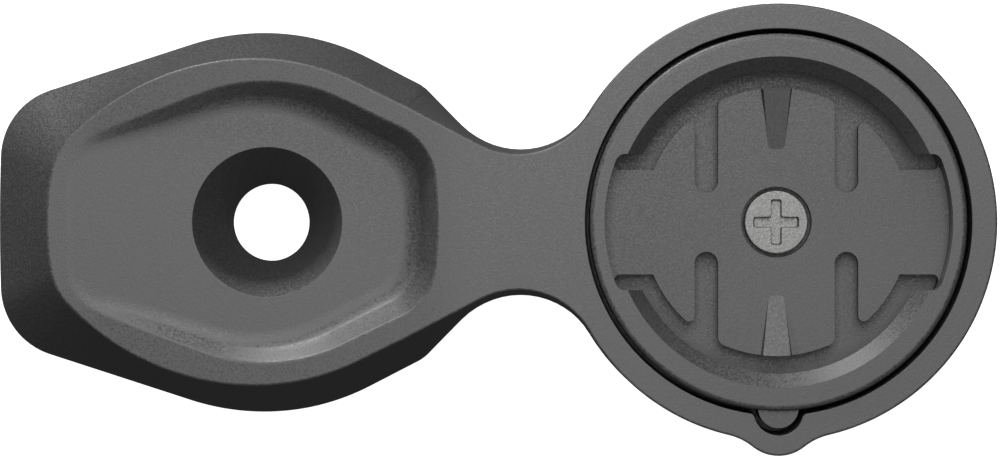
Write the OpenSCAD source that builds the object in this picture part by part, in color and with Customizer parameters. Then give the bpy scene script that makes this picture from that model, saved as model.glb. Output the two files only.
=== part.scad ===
// Stem-top mount for a cycling computer: a drafted cap plate with a bolt hole, a waisted
// neck and a ring that holds a quarter-turn socket. Millimetres. The origin is on the bolt
// hole's axis at the cap's flat base; +X runs towards the ring and +Z is up.

/* [Cap plate] */
// Rear edge of the base, behind the bolt axis
base_back = 25.05; // [24:0.05:28]
// Half width of the base, at its widest
base_half_w = 17.4; // [16.5:0.05:19]
// Rear edge of the top face, behind the bolt axis
top_back = 19.75; // [19.5:0.05:21]
// Half width of the top face, at its widest
top_half_w = 14.6; // [14:0.05:15.5]
// Height of the recess floor above the base
floor_z = 10; // [9:0.1:11]
// Height of the neck's and the ring's top face
top_z = 13.3; // [12.5:0.1:15]
// Where the top face starts to rise from the recess floor's height
rise_start_x = -17; // [-18:0.5:-14]
// Where the rising top face reaches the neck's height
rise_end_x = 17; // [15:0.5:19]

/* [Bolt hole] */
// Diameter of the hole for the M6 steerer bolt
bolt_hole_d = 7; // [6.2:0.1:7.4]
// Diameter of the tapered seat at the recess floor
seat_d = 13.4; // [12:0.1:14.5]
// Length of the parallel part of the hole
bolt_hole_len = 2.8; // [1:0.1:5]

/* [Neck and ring] */
// Distance from the bolt axis to the ring's centre
ring_x = 45.56; // [44:0.1:50]
// Outer diameter of the ring
ring_d = 38.94; // [38:0.1:42]
// Diameter of the ring's well
well_d = 34.34; // [34.2:0.02:35]
// Half width of the neck at its waist
neck_half_w = 6.6; // [5:0.1:8]
// Radius of the neck's waist
waist_r = 7.3; // [6:0.1:9]
// Height of the neck's underside
neck_z = 7.3; // [5:0.1:9]
// Height of the ring's underside
ring_z = 3.6; // [2:0.1:5]
// Height of the ring's inner floor
web_z = 7.1; // [6.5:0.1:7.3]

/* [Socket] */
// Outer diameter of the insert
insert_d = 33.5; // [33:0.1:34.1]
// Height of the insert's rim above the ring's top face
rim_proud = 0.2; // [0:0.05:0.5]
// Depth of the socket floor below the insert's rim
socket_depth = 3.8; // [3.4:0.1:4]
// Diameter of the hole under the flanges
entry_d = 30.92; // [30.8:0.02:31.2]
// Diameter inside the flanges
flange_d = 27; // [26.6:0.05:27.4]
// Diameter at the flanges' chamfered top edge
chamfer_d = 29.4; // [28.4:0.1:30]
// Thickness of the flanges
flange_t = 1.6; // [1.2:0.1:1.8]
// Width of the two openings that the computer's tabs enter by
entry_w = 12.1; // [11.8:0.05:12.6]
// Width of the floor's two side tongues, below the openings
tongue_w = 9.34; // [8.5:0.1:10]
// Diameter of the socket floor
floor_d = 23.94; // [23:0.1:25]
// Thickness of the socket floor
floor_t = 1.5; // [1.2:0.1:1.6]

/* [Spring fingers] */
// Width of a finger
finger_w = 10.42; // [9:0.1:11]
// Width of the slots beside the fingers
slot_w = 2.12; // [1.5:0.1:2.4]
// Distance from the ring's centre to the slots' inner ends
slot_start = 2.65; // [2.2:0.05:3.2]
// Distance from the ring's centre to the line that a finger bends about
hinge_y = 4.9; // [4.8:0.05:5.4]
// Height of the detent wedge at the finger's tip
wedge_h = 0.9; // [0.5:0.1:1.2]
// Distance from the ring's centre to the wedge's low end
wedge_start = 6.55; // [6:0.1:8]

/* [Index] */
// Radius of the insert's index tab
tab_r = 1.8; // [1.4:0.1:2]
// Radius of the notch that it sits in
notch_r = 2.2; // [2:0.1:2.6]
// Radius of the ring's bump round the notch
bump_r = 3.7; // [3.4:0.1:4.5]

/* [Screw and bush] */
// Diameter of the screw's head
head_d = 5.72; // [5:0.1:6]
// Height of the screw's head
head_h = 1.7; // [1.4:0.1:2]
// Diameter of the screw's thread
thread_d = 3; // [2.8:0.1:3.2]
// Diameter of the bush
bush_d = 4.2; // [4:0.1:5]

/* [Hidden] */
$fn = 96;
over = 1;                 // how far a cut runs past a face
beyond = 40;              // further out than any part of the arm
rear_r = 6.6;             // base corner at the rear
rear_y = 5.9;
rear_top_r = 6;           // top face's corner at the rear
rear_bow_r = 25.95;       // bowed rear edge of the top face
crown_r = 21;             // long curve over the widest part
long_crown_r = 23;        // the same on the top face, rear of its widest point
shoulder = [11.5, 9.23, 4];
inside_cap_x = 14;        // where the neck's plan starts, inside the cap
neck_ramp = [16.5, 19.5]; // where the underside rises from the base to the neck
edge_break = 0.15;        // chamfer on the screw's head
rim_over = 0.6;           // height above the top face at which the recess's rim plan lies
seam = 0.3;               // how far joined solids run into each other
skin = 0.01;              // thickness of a sheet in a hull
ring_r = ring_d / 2;
rim_z = top_z + rim_proud;
plate_z = rim_z - socket_depth;
plate_under_z = plate_z - floor_t;
flange_z = rim_z - flange_t;
spigot_r = 4;             // hub under the socket floor
spigot_z = web_z - 0.8;
spigot_gap = 0.05;
head_z = plate_z - 0.1;   // top of the screw's head
seat_z = head_z - head_h;
head_gap = 0.31;
shank_gap = 0.15;
shank_end_z = ring_z - 0.2;
bump_y = 17.1;            // bump's centre, from the ring's centre
notch_y = 16.75;
tab_y = 16.5;
tab_drop = 0.7;           // tab's top below the insert's rim
knuckle_gap = 0.05;
wedge_w = 1;              // wedge's width at its low end, at its tip and at its tip's foot
wedge_tip_w = 2.3;
wedge_foot_w = 2.9;
slot_x = finger_w / 2 + slot_w / 2;
finger_tip_r = floor_d / 2;
ARM = [0.13, 0.13, 0.135];
INSERT = [0.14, 0.14, 0.145];
FINGER = [0.17, 0.17, 0.175];
STEEL = [0.62, 0.62, 0.61];
BRASS = [0.72, 0.56, 0.28];

// A belt drawn round circles [x, y, r], anticlockwise. A negative radius is a hollow curve,
// which the belt passes on the inside. Each circle gives one arc, joined by tangent lines.
function belt_normal(a, b) =
    let (d = [b[0] - a[0], b[1] - a[1]], gap = norm(d))
    atan2(d[1], d[0]) - acos(max(-1, min(1, (a[2] - b[2]) / gap)));
function arc_points(c, from, to, steps) =
    [for (i = [0:steps]) let (t = from + (to - from) * i / steps)
        [c[0] + c[2] * cos(t), c[1] + c[2] * sin(t)]];
function near_angle(t, from, turn) =
    turn > 0 ? from + ((t - from) % 360 + 360) % 360 : from - ((from - t) % 360 + 360) % 360;
function belt(circles, steps = 8) =
    let (n = len(circles))
    [for (i = [0:n - 1])
        let (from = belt_normal(circles[(i + n - 1) % n], circles[i]),
             to = belt_normal(circles[i], circles[(i + 1) % n]))
        each arc_points(circles[i], from, near_angle(to, from, circles[i][2]), steps)];
function mirrored(circles) = [for (i = [len(circles) - 1:-1:0])
    [circles[i][0], -circles[i][1], circles[i][2]]];
function whole(half, rear = []) = concat(half, rear, mirrored(half));

// The cap's outline at its base and at its top face, and the recess at its floor and its rim.
base_half = [[17, 7.2, 1.5], shoulder, [-0.7, base_half_w - crown_r, crown_r],
             [rear_r - base_back, rear_y, rear_r]];
top_half = [[16.5, 5.6, 2], [-1.1, top_half_w - crown_r, crown_r],
            [-1.1, top_half_w - long_crown_r, long_crown_r], [6.27 - top_back, 3.25, rear_top_r]];
rear_bow = [[rear_bow_r - top_back, 0, rear_bow_r]];
recess_floor_half = [[8.6, 2.6, 4], [-0.2, -2.4, 13], [-14, 4.2, 4]];
recess_rim_half = [[9.7, 1.9, 5.6], [-0.5, -3.4, 16], [-13.4, 3.8, 4.6]];

// Joins two belts, one above the other, with straight sloping sides.
module drafted(low, low_z, high, high_z) {
    hull() {
        translate([0, 0, low_z]) linear_extrude(skin) polygon(belt(low));
        translate([0, 0, high_z - skin]) linear_extrude(skin) polygon(belt(high));
    }
}

// A slab across the whole width whose side view is the given polygon.
module side_profile(points) {
    translate([0, beyond, 0]) rotate([90, 0, 0]) linear_extrude(2 * beyond) polygon(points);
}

// The neck's plan: two hollow curves that run out of the cap and into the ring.
module neck_plan() {
    centre_y = neck_half_w + waist_r;
    centre_x = ring_x - sqrt(pow(ring_r + waist_r, 2) - centre_y * centre_y);
    to_ring = atan2(-centre_y, ring_x - centre_x);
    from_cap = -118;
    steps = 12;
    upper = [for (i = [0:steps]) let (t = from_cap + (to_ring - from_cap) * i / steps)
        [centre_x + waist_r * cos(t), centre_y + waist_r * sin(t)]];
    lower = [for (i = [steps:-1:0]) [upper[i][0], -upper[i][1]]];
    polygon(concat([[inside_cap_x, upper[0][1]]], upper, lower, [[inside_cap_x, -upper[0][1]]]));
}

// The ring's plan, with the bump for the index notch blended in at its foot.
module ring_plan() {
    blend_r = 4;
    reach = ring_r + blend_r;
    turn = acos((reach * reach + bump_y * bump_y - pow(bump_r + blend_r, 2)) / (2 * reach * bump_y));
    corner = [reach * sin(turn), -reach * cos(turn)];
    polygon(belt([[0, 0, ring_r], [-corner[0], corner[1], -blend_r], [0, -bump_y, bump_r],
                  [corner[0], corner[1], -blend_r]], 48));
}

module mount_arm() {
    color(ARM) difference() {
        union() {
            difference() {
                union() {
                    drafted(whole(base_half), 0, whole(top_half, rear_bow), top_z);
                    linear_extrude(top_z) neck_plan();
                }
                side_profile([[-beyond, floor_z], [rise_start_x, floor_z], [rise_end_x, top_z],
                              [rise_end_x, beyond], [-beyond, beyond]]);
                side_profile([[neck_ramp[0], -over], [neck_ramp[0], 0], [neck_ramp[1], neck_z],
                              [beyond, neck_z], [beyond, -over]]);
            }
            translate([ring_x, 0, ring_z]) linear_extrude(top_z - ring_z) ring_plan();
        }
        drafted(whole(recess_floor_half), floor_z, whole(recess_rim_half), top_z + rim_over);
        translate([0, 0, -over]) cylinder(d = bolt_hole_d, h = floor_z + 2 * over);
        translate([0, 0, bolt_hole_len])
            cylinder(d1 = bolt_hole_d, d2 = seat_d, h = floor_z - bolt_hole_len);
        translate([ring_x, 0, 0]) {
            translate([0, 0, web_z]) cylinder(d = well_d, h = top_z);
            translate([0, -notch_y, web_z]) cylinder(r = notch_r, h = top_z);
            translate([0, 0, spigot_z]) cylinder(r = spigot_r + spigot_gap, h = top_z);
            translate([0, 0, -over]) cylinder(d = bush_d, h = top_z);
        }
    }
}

// A straight slot beside a finger, with a round inner end, open outwards.
module finger_slot() {
    translate([slot_x, slot_start + slot_w / 2, 0]) cylinder(d = slot_w, h = rim_z);
    translate([slot_x - slot_w / 2, slot_start + slot_w / 2, 0]) cube([slot_w, insert_d, rim_z]);
}

module insert_body() {
    difference() {
        translate([0, 0, web_z]) cylinder(d = insert_d, h = rim_z - web_z);
        cylinder(d = entry_d, h = rim_z + over);
    }
    // Flanges, chamfered inwards, with a gap at each side for the computer's tabs.
    difference() {
        translate([0, 0, flange_z]) cylinder(d = entry_d + 2 * seam, h = flange_t);
        translate([0, 0, flange_z - over]) cylinder(d = flange_d, h = flange_t + 2 * over);
        translate([0, 0, flange_z]) cylinder(d1 = flange_d, d2 = chamfer_d, h = flange_t + skin);
        translate([-insert_d / 2, -entry_w / 2, 0]) cube([insert_d, entry_w, rim_z + over]);
    }
    // Socket floor, with a tongue at each side that ties it to the wall.
    difference() {
        union() {
            translate([0, 0, plate_under_z]) cylinder(d = floor_d, h = floor_t);
            intersection() {
                translate([0, 0, plate_under_z]) cylinder(d = entry_d + 2 * seam, h = floor_t);
                translate([-insert_d / 2, -tongue_w / 2, 0]) cube([insert_d, tongue_w, rim_z]);
            }
        }
        for (side = [0, 1], end = [0, 1])
            mirror([side, 0, 0]) mirror([0, end, 0]) finger_slot();
        for (end = [0, 1]) mirror([0, end, 0]) {
            translate([-finger_w / 2 - over, hinge_y, 0]) cube([finger_w + 2 * over, insert_d, rim_z]);
            knuckle(floor_t / 2 + knuckle_gap, finger_w + 2 * over);
        }
    }
    translate([0, 0, spigot_z]) cylinder(r = spigot_r, h = plate_z - spigot_z);
    intersection() {
        translate([0, -tab_y, web_z]) cylinder(r = tab_r, h = rim_z - web_z - tab_drop);
        translate([-tab_r, -insert_d, 0]) cube([2 * tab_r, insert_d / 2 + 2 * seam, rim_z]);
    }
}

// The round edge that a finger turns on, along X.
module knuckle(r, width) {
    translate([-width / 2, hinge_y, plate_z - floor_t / 2]) rotate([0, 90, 0]) cylinder(r = r, h = width);
}

module socket_insert() {
    color(INSERT) translate([ring_x, 0, 0]) difference() {
        insert_body();
        translate([0, 0, seat_z]) cylinder(d = head_d + 2 * head_gap, h = rim_z);
        cylinder(d = thread_d + 2 * shank_gap, h = rim_z);
    }
}

// A thin strip across a finger, sunk into it by its skin: one end of the wedge.
module wedge_end(y, width, height) {
    translate([-width / 2, y, plate_z - skin]) cube([width, 2 * skin, height + 2 * skin]);
}

module finger() {
    intersection() {
        translate([0, 0, plate_under_z]) cylinder(r = finger_tip_r, h = floor_t);
        translate([-finger_w / 2, hinge_y, 0]) cube([finger_w, insert_d, rim_z]);
    }
    knuckle(floor_t / 2, finger_w);
    // Detent wedge, rising towards the tip.
    intersection() {
        cylinder(r = finger_tip_r, h = rim_z);
        hull() {
            wedge_end(wedge_start, wedge_w, 0);
            wedge_end(finger_tip_r + seam, wedge_foot_w, 0);
            wedge_end(finger_tip_r + seam, wedge_tip_w, wedge_h);
        }
    }
}

module upper_spring_finger() {
    color(FINGER) translate([ring_x, 0, 0]) finger();
}

module lower_spring_finger() {
    color(FINGER) translate([ring_x, 0, 0]) mirror([0, 1, 0]) finger();
}

module insert_screw() {
    recess = [4.05, 0.92, 1];
    color(STEEL) translate([ring_x, 0, 0]) difference() {
        union() {
            translate([0, 0, seat_z]) cylinder(d = head_d, h = head_h - edge_break);
            translate([0, 0, head_z - edge_break])
                cylinder(d1 = head_d, d2 = head_d - 2 * edge_break, h = edge_break);
            translate([0, 0, shank_end_z]) cylinder(d = thread_d, h = seat_z - shank_end_z);
        }
        for (turn = [0, 90]) rotate(turn) translate([0, 0, head_z])
            cube([recess[0], recess[1], 2 * recess[2]], center = true);
    }
}

module threaded_bush() {
    color(BRASS) translate([ring_x, 0, ring_z]) difference() {
        cylinder(d = bush_d, h = spigot_z - ring_z);
        translate([0, 0, -over]) cylinder(d = thread_d, h = web_z);
    }
}

mount_arm();
socket_insert();
upper_spring_finger();
lower_spring_finger();
insert_screw();
threaded_bush();
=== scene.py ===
"""Looks of the stem-top mount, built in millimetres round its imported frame."""
import math

import bmesh
import bpy
from mathutils import Matrix, Vector
from mathutils.geometry import delaunay_2d_cdt
from mathutils.kdtree import KDTree


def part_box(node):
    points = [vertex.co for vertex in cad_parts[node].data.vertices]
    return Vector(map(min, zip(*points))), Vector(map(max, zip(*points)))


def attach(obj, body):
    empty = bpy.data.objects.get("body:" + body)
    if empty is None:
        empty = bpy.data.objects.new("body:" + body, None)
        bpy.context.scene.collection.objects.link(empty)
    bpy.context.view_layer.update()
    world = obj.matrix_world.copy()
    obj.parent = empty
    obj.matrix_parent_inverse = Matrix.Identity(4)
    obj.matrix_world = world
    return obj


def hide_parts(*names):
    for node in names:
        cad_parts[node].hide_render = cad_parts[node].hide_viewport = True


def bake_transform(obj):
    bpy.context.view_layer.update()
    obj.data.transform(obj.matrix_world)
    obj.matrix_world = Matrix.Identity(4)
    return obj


bl_info = {
    "name": "Stem-top computer mount",
    "version": (1, 0, 0),
    "blender": (4, 5, 0),
    "location": "View3D > Sidebar > Mount",
    "description": "Builds the visible pieces of a stem-top mount with a quarter-turn socket",
    "category": "Object",
}

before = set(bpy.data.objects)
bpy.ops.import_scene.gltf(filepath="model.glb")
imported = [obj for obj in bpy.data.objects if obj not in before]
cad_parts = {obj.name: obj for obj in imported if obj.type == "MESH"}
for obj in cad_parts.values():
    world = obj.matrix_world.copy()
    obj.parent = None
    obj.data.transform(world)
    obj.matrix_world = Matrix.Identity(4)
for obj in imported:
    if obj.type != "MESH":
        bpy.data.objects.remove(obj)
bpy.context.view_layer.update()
MM = 0.001
TAU = math.tau


def box_mm(node):
    """Lowest and highest corner of a frame node, in millimetres."""
    low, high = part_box(node)
    return low / MM, high / MM


ARM_HIGH = box_mm("mount_arm")[1]
INSERT_LOW, INSERT_HIGH = box_mm("socket_insert")
FINGER_LOW, FINGER_HIGH = box_mm("upper_spring_finger")
SCREW_LOW, SCREW_HIGH = box_mm("insert_screw")
BUSH_LOW, BUSH_HIGH = box_mm("threaded_bush")

RING_X = (SCREW_LOW.x + SCREW_HIGH.x) / 2
RING_R = ARM_HIGH.x - RING_X
INSERT_R = (INSERT_HIGH.x - INSERT_LOW.x) / 2
TOP_Z = ARM_HIGH.z
RING_Z = BUSH_LOW.z
SPIGOT_Z = BUSH_HIGH.z
RIM_Z = INSERT_HIGH.z
FINGER_R = FINGER_HIGH.y
FINGER_HALF_W = (FINGER_HIGH.x - FINGER_LOW.x) / 2
PLATE_T = 1.5
PLATE_UNDER_Z = FINGER_LOW.z
PLATE_Z = PLATE_UNDER_Z + PLATE_T
HEAD_R = (SCREW_HIGH.x - SCREW_LOW.x) / 2
HEAD_Z = SCREW_HIGH.z
HEAD_H = 1.7
SEAT_Z = HEAD_Z - HEAD_H
BUSH_R = (BUSH_HIGH.x - BUSH_LOW.x) / 2
WELL_R = 17.17
WEB_Z = 7.1
NECK_Z = 7.3
BUMP_Y = 17.1
FOOT_HALF_W = 17.4
BRIM_HALF_W = 14.6
SHEET = "is_sheet"
CREASE = 30.0
CUT_CREASE = 50.0
TO_RING = Matrix.Translation((RING_X * MM, 0, 0))


# ---------------------------------------------------------------- outlines and surfaces

def belt(circles):
    """Closed anticlockwise outline of a belt round circles (x, y, radius, steps, run).

    A negative radius is a hollow curve. steps is the number of points on the arc and run the
    number on the straight after it, 0 where the next arc starts right away. Each point comes
    as (x, y, outward x, outward y).
    """
    headings = []
    for i, (ax, ay, ar, _, _) in enumerate(circles):
        bx, by, br, _, _ = circles[(i + 1) % len(circles)]
        lean = (ar - br) / math.hypot(bx - ax, by - ay)
        headings.append(math.atan2(by - ay, bx - ax) - math.acos(max(-1.0, min(1.0, lean))))
    points = []
    for i, (x, y, r, steps, run) in enumerate(circles):
        start, end = headings[i - 1], headings[i]
        slack = 0.05
        sweep = (end - start + slack) % TAU - slack
        if r < 0:
            sweep = slack - (start - end + slack) % TAU
        for k in range(steps):
            turn = start + sweep * k / steps
            points.append((x + r * math.cos(turn), y + r * math.sin(turn),
                           math.cos(turn), math.sin(turn)))
        nx, ny, nr, _, _ = circles[(i + 1) % len(circles)]
        out_x, out_y = math.cos(end), math.sin(end)
        for k in range(run):
            t = k / run
            points.append(((x + r * out_x) * (1 - t) + (nx + nr * out_x) * t,
                           (y + r * out_y) * (1 - t) + (ny + nr * out_y) * t, out_x, out_y))
    return points


def mirrored(circles, last_run):
    """The same circles below the X axis, in the order that closes an outline."""
    flipped = []
    for i in range(len(circles) - 1, -1, -1):
        x, y, r, steps, _ = circles[i]
        run = circles[i - 1][4] if i else last_run
        flipped.append((x, -y, r, steps, run))
    return flipped


def touching_centre(big_r, small_d, small_r, blend_r):
    """Centre of a curve that blends a circle into a smaller one small_d below its centre."""
    reach = big_r + blend_r
    cos_turn = (reach ** 2 + small_d ** 2 - (small_r + blend_r) ** 2) / (2 * reach * small_d)
    turn = math.acos(cos_turn)
    return reach * math.sin(turn), -reach * math.cos(turn)


def eased(t, width=0.1):
    """0 to 1 in a straight line, with both ends rounded over the given width."""
    if t < -width or t > 1 + width:
        return 0.0 if t < 0 else 1.0
    if t < width:
        return (t + width) ** 2 / (4 * width)
    if t > 1 - width:
        return 1 - (1 + width - t) ** 2 / (4 * width)
    return t


def smooth(t):
    """Smooth step from 0 to 1."""
    t = max(0.0, min(1.0, t))
    return t * t * (3 - 2 * t)


def between(a, b, t):
    """The point a share t of the way from a to b."""
    return tuple(p + (q - p) * t for p, q in zip(a, b))


def towards(a, b, distance):
    """The point that far from a on the way to b, at most half way."""
    gap = math.dist(a, b)
    return between(a, b, min(0.5, distance / gap)) if gap > 1e-6 else tuple(a)


def bend(a, corner, b, t):
    """A point on the round edge from a to b whose sharp corner would be at corner."""
    return between(between(a, corner, t), between(corner, b, t), t)


def level(z):
    """The height function of a level sheet."""
    return lambda x, y: z


def refuse_empty(name, data):
    """Stops the build if a step has left nothing of a shape."""
    if not data.polygons:
        raise RuntimeError(f"{name} came out empty")


class Skin:
    """A closed surface put together from loops, strips and sheets, in millimetres."""

    def __init__(self):
        self.mesh = bmesh.new()
        self.is_sheet = self.mesh.faces.layers.int.new(SHEET)

    def loop(self, points):
        """Adds a loop of corners."""
        return [self.mesh.verts.new(p) for p in points]

    def strips(self, rows):
        """Joins each row of points to the next with quads."""
        loops = [self.loop(row) for row in rows]
        for low, high in zip(loops, loops[1:]):
            for i in range(len(low)):
                self.mesh.faces.new((low[i - 1], low[i], high[i], high[i - 1]))

    def sheet(self, loops, height, spacing=0.0):
        """Fills between flat outlines with a sheet whose height is height(x, y)."""
        coords, edges = [], []
        for loop in loops:
            first = len(coords)
            coords += [Vector((p[0], p[1])) for p in loop]
            count = len(loop)
            edges += [(first + i, first + (i + 1) % count) for i in range(count)]
        if spacing:
            coords += grid_inside(loops, coords, spacing)
        corners, _, faces = delaunay_2d_cdt(coords, edges, [], 0, 1e-6, False)[:3]
        verts = [self.mesh.verts.new((c.x, c.y, height(c.x, c.y))) for c in corners]
        for face in faces:
            middle = sum((corners[i] for i in face), Vector((0, 0))) / len(face)
            if inside(middle, loops):
                self.mesh.faces.new([verts[i] for i in face])[self.is_sheet] = 1

    def piece(self, name, offset_x=0.0):
        """Welds the surface, turns it outwards and makes an object of it."""
        bmesh.ops.remove_doubles(self.mesh, verts=self.mesh.verts, dist=0.002)
        loose = [v for v in self.mesh.verts if not v.link_faces]
        bmesh.ops.delete(self.mesh, geom=loose, context="VERTS")
        bmesh.ops.dissolve_degenerate(self.mesh, edges=self.mesh.edges, dist=0.0005)
        bmesh.ops.translate(self.mesh, vec=(offset_x, 0, 0), verts=self.mesh.verts)
        bmesh.ops.scale(self.mesh, vec=(MM, MM, MM), verts=self.mesh.verts)
        bmesh.ops.recalc_face_normals(self.mesh, faces=self.mesh.faces)
        data = bpy.data.meshes.new(name)
        self.mesh.to_mesh(data)
        self.mesh.free()
        refuse_empty(name, data)
        shape = bpy.data.objects.new(name, data)
        bpy.context.scene.collection.objects.link(shape)
        shade(shape, CREASE)
        return shape


def inside(point, loops):
    """True if a point lies inside an odd number of the loops."""
    x, y = point[0], point[1]
    odd = False
    for loop in loops:
        for i, (bx, by) in enumerate((p[0], p[1]) for p in loop):
            ax, ay = loop[i - 1][0], loop[i - 1][1]
            if (ay > y) != (by > y) and x < (bx - ax) * (y - ay) / (by - ay) + ax:
                odd = not odd
    return odd


def grid_inside(loops, edge_points, spacing):
    """Grid points inside the loops that keep clear of their edges."""
    tree = KDTree(len(edge_points))
    for i, p in enumerate(edge_points):
        tree.insert((p[0], p[1], 0), i)
    tree.balance()
    low = [min(p[k] for p in loops[0]) for k in (0, 1)]
    high = [max(p[k] for p in loops[0]) for k in (0, 1)]
    found = []
    for row in range(int((high[1] - low[1]) / spacing) + 1):
        shift = 0.5 if row % 2 else 0.0
        for column in range(int((high[0] - low[0]) / spacing) + 1):
            p = Vector((low[0] + (column + shift) * spacing, low[1] + row * spacing))
            if tree.find((p.x, p.y, 0))[2] > 0.5 * spacing and inside(p, loops):
                found.append(p)
    return found


def shade(shape, crease):
    """Smooth shading in which large faces keep their own direction up to their edges.

    Each corner takes the mean direction of the large faces round its vertex that lie within
    the crease angle of its face, or of all such faces where none is large.
    """
    large_area = 0.4 * MM * MM
    data = shape.data
    data.set_sharp_from_angle(angle=math.radians(crease))
    flags = data.attributes.get(SHEET)
    faces = data.polygons
    large = [f.area > large_area for f in faces]
    if flags:
        large = [big or flag.value for big, flag in zip(large, flags.data)]
    around = [[] for _ in data.vertices]
    for face in faces:
        face.use_smooth = True
        for v in face.vertices:
            around[v].append(face.index)
    directions = [f.normal.copy() for f in faces]
    areas = [f.area for f in faces]
    limit = math.cos(math.radians(crease))
    corners = [None] * len(data.loops)
    for face in faces:
        own = directions[face.index]
        for loop, v in zip(face.loop_indices, face.vertices):
            near = [k for k in around[v] if directions[k].dot(own) > limit]
            best = [k for k in near if large[k]] or near
            total = sum((directions[k] * areas[k] for k in best), Vector())
            corners[loop] = total.normalized() if total.length > 0 else own
    data.normals_split_custom_set(corners)


def circle(r, steps=128, x=0.0):
    """A circle as outline points with outward directions."""
    turns = [TAU * k / steps for k in range(steps)]
    return [(x + r * math.cos(t), r * math.sin(t), math.cos(t), math.sin(t)) for t in turns]


def at_height(outline, z):
    """Outline points at one height."""
    return [(p[0], p[1], z) for p in outline]


def grown(outline, step):
    """The outline moved outwards by step."""
    return [(p[0] + p[2] * step, p[1] + p[3] * step, p[2], p[3]) for p in outline]


def prism(name, outline, low, high, offset_x=0.0):
    """A straight solid with the given plan."""
    skin = Skin()
    skin.strips([at_height(outline, low), at_height(outline, high)])
    for z in (low, high):
        skin.sheet([outline], level(z))
    return skin.piece(name, offset_x)


def lathe(name, profile, steps):
    """A turned solid from a profile of (radius, height); radius 0 at both ends closes it."""
    skin = Skin()
    solid = profile[0][0] == 0
    rows = [at_height(circle(r, steps), z) for r, z in profile if r > 0]
    if not solid:
        rows.append(rows[0])
    skin.strips(rows)
    if solid:
        for row in (rows[0], rows[-1]):
            skin.mesh.faces.new(skin.loop(row))
    return skin.piece(name)


def disc(name, r, low, high, steps):
    """A plain round solid between two heights."""
    return lathe(name, [(0, low), (r, low), (r, high), (0, high)], steps)


def settle(shape):
    """Applies a shape's modifiers to its mesh."""
    graph = bpy.context.evaluated_depsgraph_get()
    data = bpy.data.meshes.new_from_object(shape.evaluated_get(graph))
    shape.modifiers.clear()
    refuse_empty(shape.name, data)
    shape.data = data


def combine(shape, tool, how):
    """Joins, cuts or intersects a shape with a tool, and removes the tool."""
    shape.modifiers.clear()
    tool.modifiers.clear()
    step = shape.modifiers.new(how, "BOOLEAN")
    step.operation = how
    step.solver = "EXACT"
    step.object = tool
    settle(shape)
    bpy.data.objects.remove(tool)


def soften(shape, width, crease):
    """Rounds the sharp edges and shades the result."""
    weld, rounded_weld, flat_angle = 0.002 * MM, 0.001 * MM, math.radians(0.5)
    shape.modifiers.clear()
    work = bmesh.new()
    work.from_mesh(shape.data)
    bmesh.ops.remove_doubles(work, verts=work.verts, dist=weld)
    bmesh.ops.dissolve_limit(work, angle_limit=flat_angle, verts=work.verts, edges=work.edges)
    work.to_mesh(shape.data)
    work.free()
    edge = shape.modifiers.new("soft edges", "BEVEL")
    edge.width = width * MM
    edge.segments = 2
    edge.limit_method = "ANGLE"
    edge.angle_limit = math.radians(crease)
    edge.miter_outer = "MITER_ARC"
    settle(shape)
    work = bmesh.new()
    work.from_mesh(shape.data)
    bmesh.ops.remove_doubles(work, verts=work.verts, dist=rounded_weld)
    bmesh.ops.triangulate(work, faces=[f for f in work.faces if len(f.verts) > 4])
    work.to_mesh(shape.data)
    work.free()
    shade(shape, CUT_CREASE)


# ---------------------------------------------------------------- materials

def node_group(name, inputs, outputs):
    """An empty shader node group with named sockets."""
    group = bpy.data.node_groups.new(name, "ShaderNodeTree")
    for label, kind, default in inputs:
        socket = group.interface.new_socket(name=label, in_out="INPUT", socket_type=kind)
        socket.default_value = default
    for label, kind in outputs:
        group.interface.new_socket(name=label, in_out="OUTPUT", socket_type=kind)
    start = group.nodes.new("NodeGroupInput")
    end = group.nodes.new("NodeGroupOutput")
    return group, start, end


def maths(tree, operation, a, b):
    """A Math node on two sockets or numbers."""
    node = tree.nodes.new("ShaderNodeMath")
    node.operation = operation
    for socket, value in zip(node.inputs, (a, b)):
        if isinstance(value, (int, float)):
            socket.default_value = value
        else:
            tree.links.new(value, socket)
    return node.outputs[0]


def noise(tree, scale, detail):
    """Object-space noise, turned so that level faces show as much of it as slopes."""
    place = tree.nodes.new("ShaderNodeTexCoord")
    node = tree.nodes.new("ShaderNodeTexNoise")
    turned = tree.nodes.new("ShaderNodeMapping")
    turned.inputs["Rotation"].default_value = (0.6, 0.4, 0.2)
    tree.links.new(place.outputs["Object"], turned.inputs["Vector"])
    tree.links.new(turned.outputs["Vector"], node.inputs["Vector"])
    node.inputs["Detail"].default_value = detail
    tree.links.new(scale, node.inputs["Scale"])
    return node.outputs["Fac"]


def blasted_grain():
    """Node group for a fine blasted or moulded grain: a tone about 1 and a height."""
    group = bpy.data.node_groups.get("Blasted grain")
    if group:
        return group
    group, start, end = node_group(
        "Blasted grain",
        [("Grains per metre", "NodeSocketFloat", 4500.0),
         ("Contrast", "NodeSocketFloat", 0.3),
         ("Mottle", "NodeSocketFloat", 0.05)],
        [("Tone", "NodeSocketFloat"), ("Height", "NodeSocketFloat")])
    coarse_share = 0.04
    fine_scale = start.outputs["Grains per metre"]
    fine = noise(group, fine_scale, 1.0)
    coarse = noise(group, maths(group, "MULTIPLY", fine_scale, coarse_share), 2.0)
    parts = [maths(group, "MULTIPLY", maths(group, "SUBTRACT", source, 0.5), start.outputs[amount])
             for source, amount in ((fine, "Contrast"), (coarse, "Mottle"))]
    tone = maths(group, "ADD", maths(group, "ADD", *parts), 1.0)
    group.links.new(tone, end.inputs["Tone"])
    group.links.new(fine, end.inputs["Height"])
    return group


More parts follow.
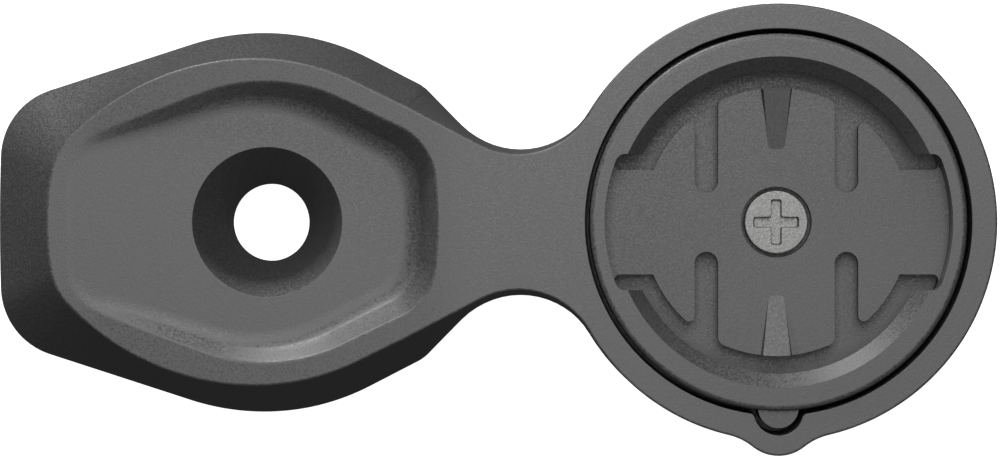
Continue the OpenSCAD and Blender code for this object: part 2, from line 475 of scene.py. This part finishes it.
def grained(name, colour, metallic, roughness, specular, grain, contrast, mottle, relief):
    """A material with blasted grain in its colour, roughness and surface; relief in mm."""
    material = bpy.data.materials.new(name)
    material.use_nodes = True
    tree = material.node_tree
    surface = tree.nodes["Principled BSDF"]
    surface.inputs["Metallic"].default_value = metallic
    surface.inputs["Specular IOR Level"].default_value = specular
    texture = tree.nodes.new("ShaderNodeGroup")
    texture.node_tree = blasted_grain()
    texture.inputs["Grains per metre"].default_value = grain
    texture.inputs["Contrast"].default_value = contrast
    texture.inputs["Mottle"].default_value = mottle
    tint = tree.nodes.new("ShaderNodeVectorMath")
    tint.operation = "SCALE"
    tint.inputs[0].default_value = colour[:3]
    tree.links.new(texture.outputs["Tone"], tint.inputs["Scale"])
    tree.links.new(tint.outputs[0], surface.inputs["Base Color"])
    rough = maths(tree, "MULTIPLY", texture.outputs["Tone"], roughness)
    tree.links.new(rough, surface.inputs["Roughness"])
    bump = tree.nodes.new("ShaderNodeBump")
    bump.inputs["Strength"].default_value = 1.0
    bump.inputs["Distance"].default_value = relief * MM
    tree.links.new(texture.outputs["Height"], bump.inputs["Height"])
    tree.links.new(bump.outputs["Normal"], surface.inputs["Normal"])
    return material


def finish(shape, material):
    """Gives a piece one material."""
    shape.data.materials.clear()
    shape.data.materials.append(material)


def moulding_finish(name, colour):
    """Dark grey blasted moulding."""
    look = bpy.context.scene.mount_finish
    return grained(name, colour, look.metallic, look.roughness, look.specular,
                   look.grain, look.grain_contrast, 0.06, look.grain_relief)


def arm_finish():
    """The arm's moulding."""
    return moulding_finish("arm plastic", bpy.context.scene.mount_finish.arm_colour)


def insert_finish():
    """The socket's moulding, a touch darker."""
    return moulding_finish("insert plastic", bpy.context.scene.mount_finish.insert_colour)


def screw_finish():
    """Bare steel with a satin grain."""
    colour = bpy.context.scene.mount_finish.screw_colour
    return grained("screw steel", colour, metallic=1.0, roughness=0.48, specular=0.5,
                   grain=6000.0, contrast=1.6, mottle=0.1, relief=0.006)


def bush_finish():
    """Turned brass."""
    colour = bpy.context.scene.mount_finish.bush_colour
    return grained("bush brass", colour, metallic=1.0, roughness=0.34, specular=0.5,
                   grain=3000.0, contrast=0.2, mottle=0.1, relief=0.004)


# ---------------------------------------------------------------- the arm

def arm_outline(neck_half, waist_r, shoulder, crown, long_crown, rear, bow, ring_r, bump_r):
    """The arm's plan: cap, waisted neck, ring and the bump at the ring's foot.

    The long crown comes with its numbers of steps; the foot's and the brim's add up alike.
    """
    neck_y = neck_half + waist_r
    neck_x = RING_X - math.sqrt((ring_r + waist_r) ** 2 - neck_y ** 2)
    blend_r = 5.5
    side, drop = touching_centre(ring_r, BUMP_Y, bump_r, blend_r)
    cap = [(neck_x, neck_y, -waist_r, 16, 10), (*shoulder, 8, 8), (*crown, 16, 0),
           long_crown, (*rear, 16, 0)]
    return belt([
        (RING_X, 0, ring_r, 40, 0),
        (RING_X - side, drop, -blend_r, 8, 0),
        (RING_X, -BUMP_Y, bump_r, 16, 0),
        (RING_X + side, drop, -blend_r, 8, 0),
        (RING_X, 0, ring_r, 160, 0),
        *cap,
        (*bow, 14, 0),
        *mirrored(cap, 0),
    ])


def recess_outline(bow, corner, crown, rear):
    """The cap recess's plan: bowed front, two long curves and a short rear."""
    half = [(*corner, 14, 8), (*crown, 28, 8), (*rear, 12, 8)]
    return belt([(*bow, 6, 1), *half, *mirrored(half, 1)])


def well_outline(well_r, notch_r, entry_r):
    """The ring's well with the index notch at its foot."""
    notch_y = 16.75
    side, drop = touching_centre(well_r, notch_y, notch_r, entry_r)
    return belt([
        (0, 0, well_r, 150, 0),
        (-side, drop, -entry_r, 5, 0),
        (0, -notch_y, notch_r, 16, 0),
        (side, drop, -entry_r, 5, 0),
    ])


class ArmSizes(bpy.types.PropertyGroup):
    """Sizes of the arm that the frame doesn't fix."""

    crown_r: bpy.props.FloatProperty(
        name="Crown radius", description="Long curve over the cap's widest part",
        default=21 * MM, unit="LENGTH", precision=4)
    long_crown_r: bpy.props.FloatProperty(
        name="Long crown radius", description="The same on the top face, rear of its widest point",
        default=23 * MM, unit="LENGTH", precision=4)
    floor_z: bpy.props.FloatProperty(
        name="Recess floor", description="Height of the recess floor above the base",
        default=10 * MM, unit="LENGTH", precision=4)
    top_edge_r: bpy.props.FloatProperty(
        name="Top edge", description="Radius of the top face's outer edge",
        default=0.22 * MM, unit="LENGTH", precision=5)
    foot_edge_r: bpy.props.FloatProperty(
        name="Foot edge", description="Radius of the lower edge",
        default=0.35 * MM, unit="LENGTH", precision=5)
    recess_edge_r: bpy.props.FloatProperty(
        name="Recess edge", description="Radius of the recess's upper edge",
        default=0.2 * MM, unit="LENGTH", precision=5)
    seat_r: bpy.props.FloatProperty(
        name="Seat radius", description="Radius of the bolt's tapered seat at the floor",
        default=6.7 * MM, unit="LENGTH", precision=4)
    hole_r: bpy.props.FloatProperty(
        name="Hole radius", description="Radius of the bolt hole",
        default=3.5 * MM, unit="LENGTH", precision=4)
    hole_length: bpy.props.FloatProperty(
        name="Hole length", description="Length of the bolt hole's parallel part",
        default=2.8 * MM, unit="LENGTH", precision=4)


def top_height(x, _y=0.0):
    """Height of the top face: level on the ring and neck, falling to the rear of the cap."""
    floor_z = bpy.context.scene.mount_arm_sizes.floor_z / MM
    rise_start, rise_end = -17.0, 17.0
    t = (x - rise_start) / (rise_end - rise_start)
    return floor_z + (TOP_Z - floor_z) * eased(t, 0.06)


def foot_height(x, y):
    """Height of the underside: cap on the ground, neck raised, ring between."""
    ramp_start, ramp_length = 16.5, 3.0
    blend = 1.6
    z = NECK_Z * smooth((x - ramp_start) / ramp_length)
    beyond = math.hypot(x - RING_X, y) - RING_R
    return RING_Z + (z - RING_Z) * smooth(beyond / blend) if x > ramp_start else z


def arm_wall(skin, sizes):
    """The arm's outer wall, with its foot edge and top edge rounded."""
    edge_top, edge_foot = sizes.top_edge_r / MM, sizes.foot_edge_r / MM
    crown_r, long_r = sizes.crown_r / MM, sizes.long_crown_r / MM
    foot_x, foot_long_r, brim_x, draft = -0.7, 22, -1.1, 0.05
    foot = arm_outline(
        6.58, 7.3, (11.5, 9.23, 4), (foot_x, FOOT_HALF_W - crown_r, crown_r),
        (foot_x, FOOT_HALF_W - foot_long_r, foot_long_r, 16, 8), (-18.36, 5.9, 6.6),
        (174.95, 0, 200), RING_R, 3.7)
    brim = arm_outline(
        6.05, 7.2, (8.93, 3.16, 8), (brim_x, BRIM_HALF_W - crown_r, crown_r),
        (brim_x, BRIM_HALF_W - long_r, long_r, 24, 0), (-13.48, 3.25, 6.0),
        (6.2, 0, 25.95), RING_R - draft, 3.66)
    foot_in, brim_in = grown(foot, -edge_foot), grown(brim, -edge_top)
    columns = []
    for f, fi, b, bi in zip(foot, foot_in, brim, brim_in):
        low = (f[0], f[1], foot_height(f[0], f[1]))
        high = (b[0], b[1], top_height(b[0]))
        low_in = (fi[0], fi[1], foot_height(fi[0], fi[1]))
        high_in = (bi[0], bi[1], top_height(bi[0]))
        low_up, high_down = towards(low, high, edge_foot), towards(high, low, edge_top)
        column = [bend(low_in, low, low_up, k / 4) for k in range(5)]
        column += [between(low_up, high_down, k / 6) for k in range(1, 6)]
        column += [bend(high_down, high, high_in, k / 4) for k in range(5)]
        columns.append(column)
    skin.strips(list(zip(*columns)))
    return foot_in, brim_in


def recess_wall(skin, sizes):
    """The recess: rounded rim, straight steep wall and a wide soft foot."""
    floor_z, edge = sizes.floor_z / MM, sizes.recess_edge_r / MM
    rim = recess_outline((-21.75, 0, 37), (9.5, 3.36, 5.6), (-0.2, -3.5, 16), (-13.4, 3.76, 4.6))
    floor = recess_outline((-11.1, 0, 23), (8.1, 2.35, 3.7), (-1.02, -2.3, 12),
                           (-13.4, 2.7, 3.6))
    straight, corner = (0.42, 0.24), (0.62, 0.0)
    columns = []
    for r, f in zip(rim, floor):
        rise = top_height(r[0]) - floor_z

        def wall(across, share):
            x, y = between(r[:2], f[:2], across)
            return x, y, floor_z + rise * share

        lip = (r[0] + r[2] * edge, r[1] + r[3] * edge)
        lip = (*lip, top_height(lip[0]))
        start = towards(wall(0, 1), wall(*straight), edge)
        column = [bend(lip, wall(0, 1), start, k / 4) for k in range(5)]
        column += [between(start, wall(*straight), k / 3) for k in range(1, 3)]
        column += [bend(wall(*straight), wall(*corner), wall(1, 0), k / 8) for k in range(9)]
        columns.append(column)
    skin.strips(list(zip(*columns)))
    return grown(rim, edge), floor


def bolt_seat(skin, sizes):
    """Tapered seat and parallel hole, with the seat's upper edge just broken."""
    floor_z, seat_r, hole_r = sizes.floor_z / MM, sizes.seat_r / MM, sizes.hole_r / MM
    length, edge, break_w = sizes.hole_length / MM, 0.05, 0.2
    mouth = (seat_r, floor_z)
    neck = (hole_r, length)
    start = towards(mouth, neck, edge)
    profile = [bend((seat_r + edge, floor_z), mouth, start, k / 2) for k in range(3)]
    profile += [neck, (hole_r, break_w), (hole_r + break_w, 0.0)]
    skin.strips([at_height(circle(r), z) for r, z in profile])
    return circle(seat_r + edge), circle(hole_r + break_w)


def ring_well(skin):
    """The well that the insert drops into, its floor and the stepped hole for hub and bush."""
    edge, draft, corner, middle = 0.09, 0.04, 0.3, 0.3
    hub_r, steps = 4.05, 96
    well = well_outline(WELL_R, 2.2, 0.5)
    well = [(p[0] + RING_X, *p[1:]) for p in well]
    levels = [(edge, TOP_Z), (edge * middle, TOP_Z - edge * middle), (0, TOP_Z - edge),
              (-draft, WEB_Z + corner), (-draft - corner * middle, WEB_Z + corner * middle),
              (-draft - corner, WEB_Z)]
    skin.strips([at_height(grown(well, step), z) for step, z in levels])
    profile = [(hub_r, WEB_Z), (hub_r, SPIGOT_Z), (BUSH_R, SPIGOT_Z), (BUSH_R, RING_Z)]
    skin.strips([at_height(circle(r, steps, RING_X), z) for r, z in profile])
    skin.sheet([grown(well, -draft - corner), circle(hub_r, steps, RING_X)], level(WEB_Z))
    return grown(well, edge), circle(BUSH_R, steps, RING_X)


class MOUNT_OT_arm(bpy.types.Operator):
    """Build the arm: cap plate, neck and ring in one moulding"""

    bl_idname = "mount.arm"
    bl_label = "Arm"

    def execute(self, context):
        sizes = context.scene.mount_arm_sizes
        floor_z = sizes.floor_z / MM
        skin = Skin()
        foot, brim = arm_wall(skin, sizes)
        rim, floor = recess_wall(skin, sizes)
        seat, hole = bolt_seat(skin, sizes)
        well, bush_hole = ring_well(skin)
        top_grid, floor_grid, foot_grid = 1.0, 2.0, 0.7
        skin.sheet([brim, rim, well], top_height, top_grid)
        skin.sheet([floor, seat], level(floor_z), floor_grid)
        skin.sheet([foot, hole, bush_hole], foot_height, foot_grid)
        arm = skin.piece("arm_moulding")
        finish(arm, arm_finish())
        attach(arm, "root")
        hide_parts("mount_arm")
        return {"FINISHED"}


# ---------------------------------------------------------------- the socket

class SocketSizes(bpy.types.PropertyGroup):
    """Sizes of the socket insert that the frame doesn't fix."""

    entry_r: bpy.props.FloatProperty(
        name="Entry radius", description="Radius of the wall under the flanges",
        default=15.46 * MM, unit="LENGTH", precision=5)
    flange_r: bpy.props.FloatProperty(
        name="Flange radius", description="Radius inside the flanges",
        default=13.5 * MM, unit="LENGTH", precision=5)
    chamfer_r: bpy.props.FloatProperty(
        name="Chamfer radius", description="Radius of the chamfer's upper edge",
        default=14.7 * MM, unit="LENGTH", precision=5)
    flange_t: bpy.props.FloatProperty(
        name="Flange thickness", description="Thickness of the two flanges",
        default=1.6 * MM, unit="LENGTH", precision=5)
    entry_half: bpy.props.FloatProperty(
        name="Opening half width", description="Half width of the openings between the flanges",
        default=6.05 * MM, unit="LENGTH", precision=5)
    tongue_half: bpy.props.FloatProperty(
        name="Tongue half width", description="Half width of the floor's side tongues",
        default=4.67 * MM, unit="LENGTH", precision=5)
    edge_r: bpy.props.FloatProperty(
        name="Edge", description="Radius of the socket's moulded edges",
        default=0.07 * MM, unit="LENGTH", precision=5)


def socket_wall(sizes):
    """Turned wall with its rim and the undercut flange."""
    entry_r, flange_r = sizes.entry_r / MM, sizes.flange_r / MM
    chamfer_r, flange_t = sizes.chamfer_r / MM, sizes.flange_t / MM
    rim_r, lip = 0.48, 0.16
    profile = [(INSERT_R, WEB_Z)]
    outside, corner, inner = (INSERT_R, RIM_Z - rim_r), (INSERT_R, RIM_Z), (INSERT_R - rim_r, RIM_Z)
    profile += [bend(outside, corner, inner, k / 5) for k in range(6)]
    under = RIM_Z - flange_t
    profile += [(chamfer_r, RIM_Z), (flange_r, under + lip), (flange_r, under),
                (entry_r, under), (entry_r, WEB_Z)]
    return lathe("socket_moulding", profile, steps=192)


def entry_cutter(sizes):
    """Plan of the two openings for the computer's tabs, as one long slot."""
    r, half, corner, over_plate = sizes.entry_r / MM, sizes.entry_half / MM, 0.9, 0.6
    corner_x = math.sqrt((r - corner) ** 2 - (half - corner) ** 2)
    outline = belt([
        (0, 0, r, 24, 0), (corner_x, half - corner, corner, 8, 1),
        (-corner_x, half - corner, corner, 8, 0), (0, 0, r, 24, 0),
        (-corner_x, corner - half, corner, 8, 1), (corner_x, corner - half, corner, 8, 0)])
    return prism("cutter", outline, PLATE_Z + over_plate, RIM_Z + 1)


def tongue(sizes):
    """The floor's two side tongues, with hollow corners where they meet the wall."""
    r, half, hollow = sizes.entry_r / MM, sizes.tongue_half / MM, 0.55
    x = math.sqrt((r - hollow) ** 2 - (half + hollow) ** 2)
    quarter = [(16.4, 0.6, 0.03, 2, 1), (15.2, 6.2, 0.03, 2, 1), (x + 0.16, half + 1.68, 0.03, 2, 1),
               (x, half + hollow, -hollow, 8, 1)]
    left = [(-a, b, c, d, 1) for a, b, c, d, _ in reversed(quarter)]
    upper = quarter + left
    lower = [(a, -b, c, d, 1) for a, b, c, d, _ in reversed(upper)]
    return prism("tongue", belt(upper + lower), PLATE_UNDER_Z, PLATE_Z)


def slot_cutter(side, end):
    """One slot beside a finger, flared where it opens so that both tips come out round."""
    slot_w, start, tip_r, petal_r = 2.12, 2.65, 0.7, 0.5
    near, far = FINGER_HALF_W, FINGER_HALF_W + slot_w
    middle = (near + far) / 2
    petal = (far + petal_r, math.sqrt((FINGER_R - petal_r) ** 2 - (far + petal_r) ** 2))
    tip = (near - tip_r, math.sqrt((FINGER_R - tip_r) ** 2 - (near - tip_r) ** 2))

    def past(point, turn, distance):
        """A point on the floor's edge tangent, beyond a rounded tip."""
        angle = math.atan2(point[1], point[0])
        heading = angle + turn * math.pi / 2
        return (FINGER_R * math.cos(angle) + distance * math.cos(heading),
                FINGER_R * math.sin(angle) + distance * math.sin(heading))

    after_petal, before_tip = past(petal, -1, 2.0), past(tip, 1, 2.0)
    outline = belt([
        (middle, start + slot_w / 2, slot_w / 2, 24, 1),
        (*petal, -petal_r, 10, 1),
        (*after_petal, 0.01, 2, 1),
        (14.2, 9.5, 0.01, 2, 1),
        (8.5, 15.5, 0.01, 2, 1),
        (*before_tip, 0.01, 2, 1),
        (*tip, -tip_r, 10, 1),
    ])
    outline = [(p[0] * side, p[1] * end, p[2] * side, p[3] * end) for p in outline]
    if side * end < 0:
        outline.reverse()
    return prism("cutter", outline, PLATE_UNDER_Z - 1, PLATE_Z + 1)


def wedge(end):
    """Detent wedge on a finger, rising towards the tip, its tip cut to the floor's edge."""
    start_y, rise, nose, sunk = 6.55, 0.945, 0.02, 0.4
    half_start, half_tip, flare, corner = 0.72, 1.26, 0.3, 0.27
    tip_y = FINGER_R + 0.4
    skin = Skin()
    plan = [(-half_tip, tip_y), (-half_start, start_y + corner), (-half_start + corner, start_y),
            (half_start - corner, start_y), (half_start, start_y + corner), (half_tip, tip_y)]

    def corners(foot):
        points = []
        for x, y in plan:
            t = (y - start_y) / (tip_y - start_y)
            z = PLATE_Z - sunk if foot else PLATE_Z + rise * t + nose
            points.append((x + math.copysign(flare * t, x) * (1 if foot else 0), y * end, z))
        return points

    skin.strips([corners(True), corners(False)])
    for foot in (True, False):
        skin.mesh.faces.new(skin.loop(corners(foot)))
    solid = skin.piece("wedge")
    combine(solid, disc("keep", FINGER_R, PLATE_Z - 1, RIM_Z, 128), "INTERSECT")
    return solid


def index_tab():
    """Half-round tab that keys the insert in the ring."""
    tab_r, tab_y, drop = 1.8, 16.5, 0.7
    outline = belt([(-tab_r + 0.05, 0.6 - tab_y, 0.05, 2, 1), (0, -tab_y, tab_r, 24, 1),
                    (tab_r - 0.05, 0.6 - tab_y, 0.05, 2, 1)])
    return prism("tab", outline, WEB_Z, RIM_Z - drop)


def whole_socket(sizes):
    """The socket in one piece, its fingers still joined to it."""
    hub_r, hub_sunk, head_gap, shank_r = 4.0, 0.3, 0.31, 1.65
    body = socket_wall(sizes)
    combine(body, entry_cutter(sizes), "DIFFERENCE")
    plate = disc("plate", FINGER_R, PLATE_UNDER_Z, PLATE_Z, 192)
    combine(plate, tongue(sizes), "UNION")
    for side in (-1, 1):
        for end in (-1, 1):
            combine(plate, slot_cutter(side, end), "DIFFERENCE")
    for end in (-1, 1):
        combine(plate, wedge(end), "UNION")
    combine(plate, disc("hub", hub_r, SPIGOT_Z, PLATE_UNDER_Z + hub_sunk, 96), "UNION")
    combine(body, plate, "UNION")
    combine(body, index_tab(), "UNION")
    combine(body, disc("cutter", HEAD_R + head_gap, SEAT_Z, RIM_Z, 96), "DIFFERENCE")
    combine(body, disc("cutter", shank_r, SPIGOT_Z - 1, SEAT_Z + 1, 64), "DIFFERENCE")
    soften(body, sizes.edge_r / MM, CREASE)
    body.data.transform(TO_RING)
    return body


def finger_zone(end):
    """The block of space that a finger fills, from its root outwards."""
    root_y, reach = 3.71, FINGER_R + 0.2
    half = FINGER_HALF_W + 1.0
    under, flange_clear = 0.5, 1.8
    low, high = sorted((root_y * end, reach * end))
    outline = [(-half, low, 0, 0), (half, low, 0, 0), (half, high, 0, 0), (-half, high, 0, 0)]
    return prism("zone", outline, PLATE_UNDER_Z - under, RIM_Z - flange_clear, RING_X)


class MOUNT_OT_socket(bpy.types.Operator):
    """Build the socket insert and its two spring fingers"""

    bl_idname = "mount.socket"
    bl_label = "Socket and fingers"

    def execute(self, context):
        body = whole_socket(context.scene.mount_socket_sizes)
        material = insert_finish()
        pieces = [(body, "socket_insert")]
        for end, node in ((1, "upper_spring_finger"), (-1, "lower_spring_finger")):
            finger = body.copy()
            finger.data = body.data.copy()
            finger.name = node.replace("spring", "sprung")
            context.scene.collection.objects.link(finger)
            combine(finger, finger_zone(end), "INTERSECT")
            combine(body, finger_zone(end), "DIFFERENCE")
            shade(finger, CUT_CREASE)
            pieces.append((finger, node))
        shade(body, CUT_CREASE)
        for shape, node in pieces:
            finish(shape, material)
            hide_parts(node)
        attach(body, "root")
        for (finger, _), end, name in zip(pieces[1:], (1, -1), ("upper_finger", "lower_finger")):
            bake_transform(finger)
        return {"FINISHED"}


# ---------------------------------------------------------------- screw and bush

def cross_recess():
    """Cutter for the cross recess, with round ends and hollow inner corners."""
    reach, half, depth, taper = 2.05, 0.48, 0.95, 0.12
    tip, inner = 0.2, 0.16

    def plan(shrink):
        end, side = reach - shrink, half - shrink * 0.5
        corners = []
        for quarter in range(4):
            turn = quarter * math.pi / 2
            for x, y, r in ((end - tip, tip - side, tip), (end - tip, side - tip, tip),
                            (side + inner, side + inner, -inner)):
                corners.append((x * math.cos(turn) - y * math.sin(turn),
                                x * math.sin(turn) + y * math.cos(turn), r, 4, 1))
        return belt(corners)

    skin = Skin()
    top, low = HEAD_Z + 0.1, HEAD_Z - depth
    skin.strips([at_height(plan(taper), low), at_height(plan(0), top)])
    for outline, z in ((plan(taper), low), (plan(0), top)):
        skin.sheet([outline], level(z))
    return skin.piece("cutter")


class MOUNT_OT_screw(bpy.types.Operator):
    """Build the cross-recess screw"""

    bl_idname = "mount.screw"
    bl_label = "Screw"

    def execute(self, context):
        pitch, thread_r, core_r, point = 0.5, 1.5, 1.2, 0.1
        round_r, edge_r, edge_crease = 0.15, 0.05, 35
        side, top = (HEAD_R, HEAD_Z - round_r), (HEAD_R - round_r, HEAD_Z)
        profile = [(0, SCREW_LOW.z), (core_r - point, SCREW_LOW.z)]
        turns = int((SEAT_Z - SCREW_LOW.z) / pitch)
        for k in range(turns):
            z = SCREW_LOW.z + point + k * pitch
            profile += [(core_r, z), (thread_r, z + pitch * 0.45), (thread_r, z + pitch * 0.55)]
        profile += [(core_r, SEAT_Z - 0.02), (core_r, SEAT_Z), (HEAD_R, SEAT_Z)]
        profile += [bend(side, (HEAD_R, HEAD_Z), top, k / 5) for k in range(6)]
        profile += [(0, HEAD_Z)]
        screw = lathe("cross_screw", profile, steps=96)
        combine(screw, cross_recess(), "DIFFERENCE")
        soften(screw, edge_r, edge_crease)
        screw.data.transform(TO_RING)
        finish(screw, screw_finish())
        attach(screw, "root")
        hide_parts("insert_screw")
        return {"FINISHED"}


class MOUNT_OT_bush(bpy.types.Operator):
    """Build the knurled threaded bush"""

    bl_idname = "mount.bush"
    bl_label = "Bush"

    def execute(self, context):
        teeth, valley, chamfer, bore_r = 24, 0.12, 0.15, 1.52
        groove, slope = 0.3, 0.05
        cuts = (valley, valley, 0, 0)
        steps = teeth * len(cuts)

        low, high = BUSH_LOW.z, BUSH_HIGH.z
        waist_low, waist_high = low + (high - low) * 0.42, low + (high - low) * 0.58
        knurl = [(x - out_x * cuts[k % 4], y - out_y * cuts[k % 4])
                 for k, (x, y, out_x, out_y) in enumerate(circle(BUSH_R, steps))]
        waist, rim = circle(BUSH_R - groove, steps), circle(BUSH_R - chamfer, steps)
        mouth, bore = circle(bore_r + chamfer, steps), circle(bore_r, steps)
        skin = Skin()
        skin.strips([at_height(ring, z) for ring, z in (
            (mouth, low), (rim, low), (knurl, low + chamfer), (knurl, waist_low),
            (waist, waist_low + slope), (waist, waist_high - slope),
            (knurl, waist_high), (knurl, high - chamfer), (rim, high),
            (mouth, high), (bore, high - chamfer), (bore, low + chamfer), (mouth, low))])
        bush = skin.piece("knurled_bush", RING_X)
        finish(bush, bush_finish())
        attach(bush, "root")
        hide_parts("threaded_bush")
        return {"FINISHED"}


# ---------------------------------------------------------------- finish, stage and panel

class FinishLook(bpy.types.PropertyGroup):
    """Colours and grain of the materials."""

    arm_colour: bpy.props.FloatVectorProperty(
        name="Arm", description="Colour of the arm", subtype="COLOR", size=3,
        default=(0.15, 0.15, 0.151), min=0, max=1)
    insert_colour: bpy.props.FloatVectorProperty(
        name="Insert", description="Colour of the socket insert", subtype="COLOR", size=3,
        default=(0.145, 0.145, 0.146), min=0, max=1)
    screw_colour: bpy.props.FloatVectorProperty(
        name="Screw", description="Colour of the screw's metal", subtype="COLOR", size=3,
        default=(0.275, 0.275, 0.271), min=0, max=1)
    bush_colour: bpy.props.FloatVectorProperty(
        name="Bush", description="Colour of the bush's metal", subtype="COLOR", size=3,
        default=(0.72, 0.52, 0.26), min=0, max=1)
    metallic: bpy.props.FloatProperty(
        name="Metallic", description="How metallic the mouldings' coating looks", default=0.5,
        min=0, max=1)
    roughness: bpy.props.FloatProperty(
        name="Roughness", description="Roughness of the mouldings", default=0.5, min=0, max=1)
    specular: bpy.props.FloatProperty(
        name="Specular", description="Strength of the mouldings' reflections", default=0.4,
        min=0, max=1)
    grain: bpy.props.FloatProperty(
        name="Grain", description="Grains per metre of the blasted surface", default=5300.0)
    grain_contrast: bpy.props.FloatProperty(
        name="Grain contrast", description="Colour contrast of the grain", default=1.3, min=0)
    grain_relief: bpy.props.FloatProperty(
        name="Grain relief", description="Height of the grain, in millimetres", default=0.01)


class StageSettings(bpy.types.PropertyGroup):
    """Camera and lights."""

    view_width: bpy.props.FloatProperty(
        name="View width", description="Width seen at the height of the ring's top face",
        default=88.72 * MM, unit="LENGTH", precision=4)
    view_x: bpy.props.FloatProperty(
        name="View centre X", description="Where the camera looks straight down, along X",
        default=20.83 * MM, unit="LENGTH", precision=4)
    view_y: bpy.props.FloatProperty(
        name="View centre Y", description="Where the camera looks straight down, along Y",
        default=-0.57 * MM, unit="LENGTH", precision=4)
    distance: bpy.props.FloatProperty(
        name="Distance", description="Height of the camera above the ring's top face",
        default=0.42, unit="LENGTH")
    ambient: bpy.props.FloatProperty(
        name="Ambient", description="Strength of the even light from all round", default=0.05)


LIGHTS = [
    # name, azimuth and elevation in degrees, width and height in metres, watts
    ("overhead", 90, 90, (0.22, 0.22), 0.31),
    ("key_high", 90, 72, (0.22, 0.22), 0.64),
    ("key_right", 64, 52, (0.22, 0.22), 0.27),
    ("key_low", 112, 10, (0.18, 0.12), 1.7),
    ("rear_low", 140, 30, (0.22, 0.12), 0.2),
    ("front_low", 290, 30, (0.22, 0.12), 0.04),
]


class MOUNT_OT_stage(bpy.types.Operator):
    """Set up the camera, the lights and the pale floor"""

    bl_idname = "mount.stage"
    bl_label = "Stage"

    def execute(self, context):
        scene = context.scene
        stage = scene.mount_stage
        self.camera(scene, stage)
        for lamp in LIGHTS:
            self.light(scene, *lamp)
        self.world(scene, stage.ambient)
        self.floor(scene)
        scene.view_settings.view_transform = "Standard"
        return {"FINISHED"}

    def camera(self, scene, stage):
        data = bpy.data.cameras.new("camera")
        data.sensor_width = 36.0
        data.lens = data.sensor_width * stage.distance / stage.view_width
        data.clip_end = 20.0
        camera = bpy.data.objects.new("camera", data)
        camera.location = (stage.view_x, stage.view_y, TOP_Z * MM + stage.distance)
        scene.collection.objects.link(camera)
        scene.camera = camera

    def light(self, scene, name, azimuth, elevation, size, watts):
        data = bpy.data.lights.new(name, "AREA")
        data.shape = "RECTANGLE"
        data.size, data.size_y = size
        data.energy = watts
        lamp = bpy.data.objects.new(name, data)
        reach, middle_z = 0.5, 0.01
        turn, lift = math.radians(azimuth), math.radians(elevation)
        centre = Vector((scene.mount_stage.view_x, 0, middle_z))
        lamp.location = centre + reach * Vector((math.cos(turn) * math.cos(lift),
                                                 math.sin(turn) * math.cos(lift),
                                                 math.sin(lift)))
        aim = centre - lamp.location
        lamp.rotation_euler = aim.to_track_quat("-Z", "Y").to_euler()
        scene.collection.objects.link(lamp)

    def world(self, scene, ambient):
        world = bpy.data.worlds.new("studio")
        world.use_nodes = True
        world.node_tree.nodes["Background"].inputs["Strength"].default_value = ambient
        world.node_tree.nodes["Background"].inputs["Color"].default_value = (1, 1, 1, 1)
        scene.world = world

    def floor(self, scene):
        half, drop = 1.5, 0.0002
        data = bpy.data.meshes.new("floor")
        corners = [(-half, -half, -drop), (half, -half, -drop), (half, half, -drop),
                   (-half, half, -drop)]
        data.from_pydata(corners, [], [(0, 1, 2, 3)])
        floor = bpy.data.objects.new("floor", data)
        scene.collection.objects.link(floor)
        material = bpy.data.materials.new("pale floor")
        material.use_nodes = True
        surface = material.node_tree.nodes["Principled BSDF"]
        surface.inputs["Base Color"].default_value = (0.9, 0.9, 0.9, 1)
        surface.inputs["Roughness"].default_value = 0.9
        surface.inputs["Emission Color"].default_value = (1, 1, 1, 1)
        surface.inputs["Emission Strength"].default_value = 1.0
        data.materials.append(material)
        floor.visible_diffuse = False
        floor.visible_glossy = False


class MOUNT_PT_panel(bpy.types.Panel):
    """Sizes and finish of the mount, and a button for each piece"""

    bl_label = "Stem-top mount"
    bl_idname = "MOUNT_PT_panel"
    bl_space_type = "VIEW_3D"
    bl_region_type = "UI"
    bl_category = "Mount"

    def draw(self, context):
        layout = self.layout
        groups = (context.scene.mount_arm_sizes, context.scene.mount_socket_sizes,
                  context.scene.mount_finish, context.scene.mount_stage)
        for group in groups:
            box = layout.box()
            for name in group.__annotations__:
                box.prop(group, name)
        for operator in OPERATORS:
            layout.operator(operator.bl_idname)


OPERATORS = (MOUNT_OT_stage, MOUNT_OT_arm, MOUNT_OT_socket, MOUNT_OT_screw, MOUNT_OT_bush)
SETTINGS = {
    "mount_arm_sizes": ArmSizes,
    "mount_socket_sizes": SocketSizes,
    "mount_finish": FinishLook,
    "mount_stage": StageSettings,
}


def register():
    """Registers the settings, operators and panel."""
    for name, group in SETTINGS.items():
        bpy.utils.register_class(group)
        setattr(bpy.types.Scene, name, bpy.props.PointerProperty(type=group))
    for cls in (*OPERATORS, MOUNT_PT_panel):
        bpy.utils.register_class(cls)


def unregister():
    """Removes them again."""
    for cls in (MOUNT_PT_panel, *reversed(OPERATORS)):
        bpy.utils.unregister_class(cls)
    for name, group in SETTINGS.items():
        delattr(bpy.types.Scene, name)
        bpy.utils.unregister_class(group)


def main():
    """Builds every piece and the stage."""
    register()
    bpy.ops.mount.stage()
    bpy.ops.mount.arm()
    bpy.ops.mount.socket()
    bpy.ops.mount.screw()
    bpy.ops.mount.bush()


if __name__ == "__main__":
    main()
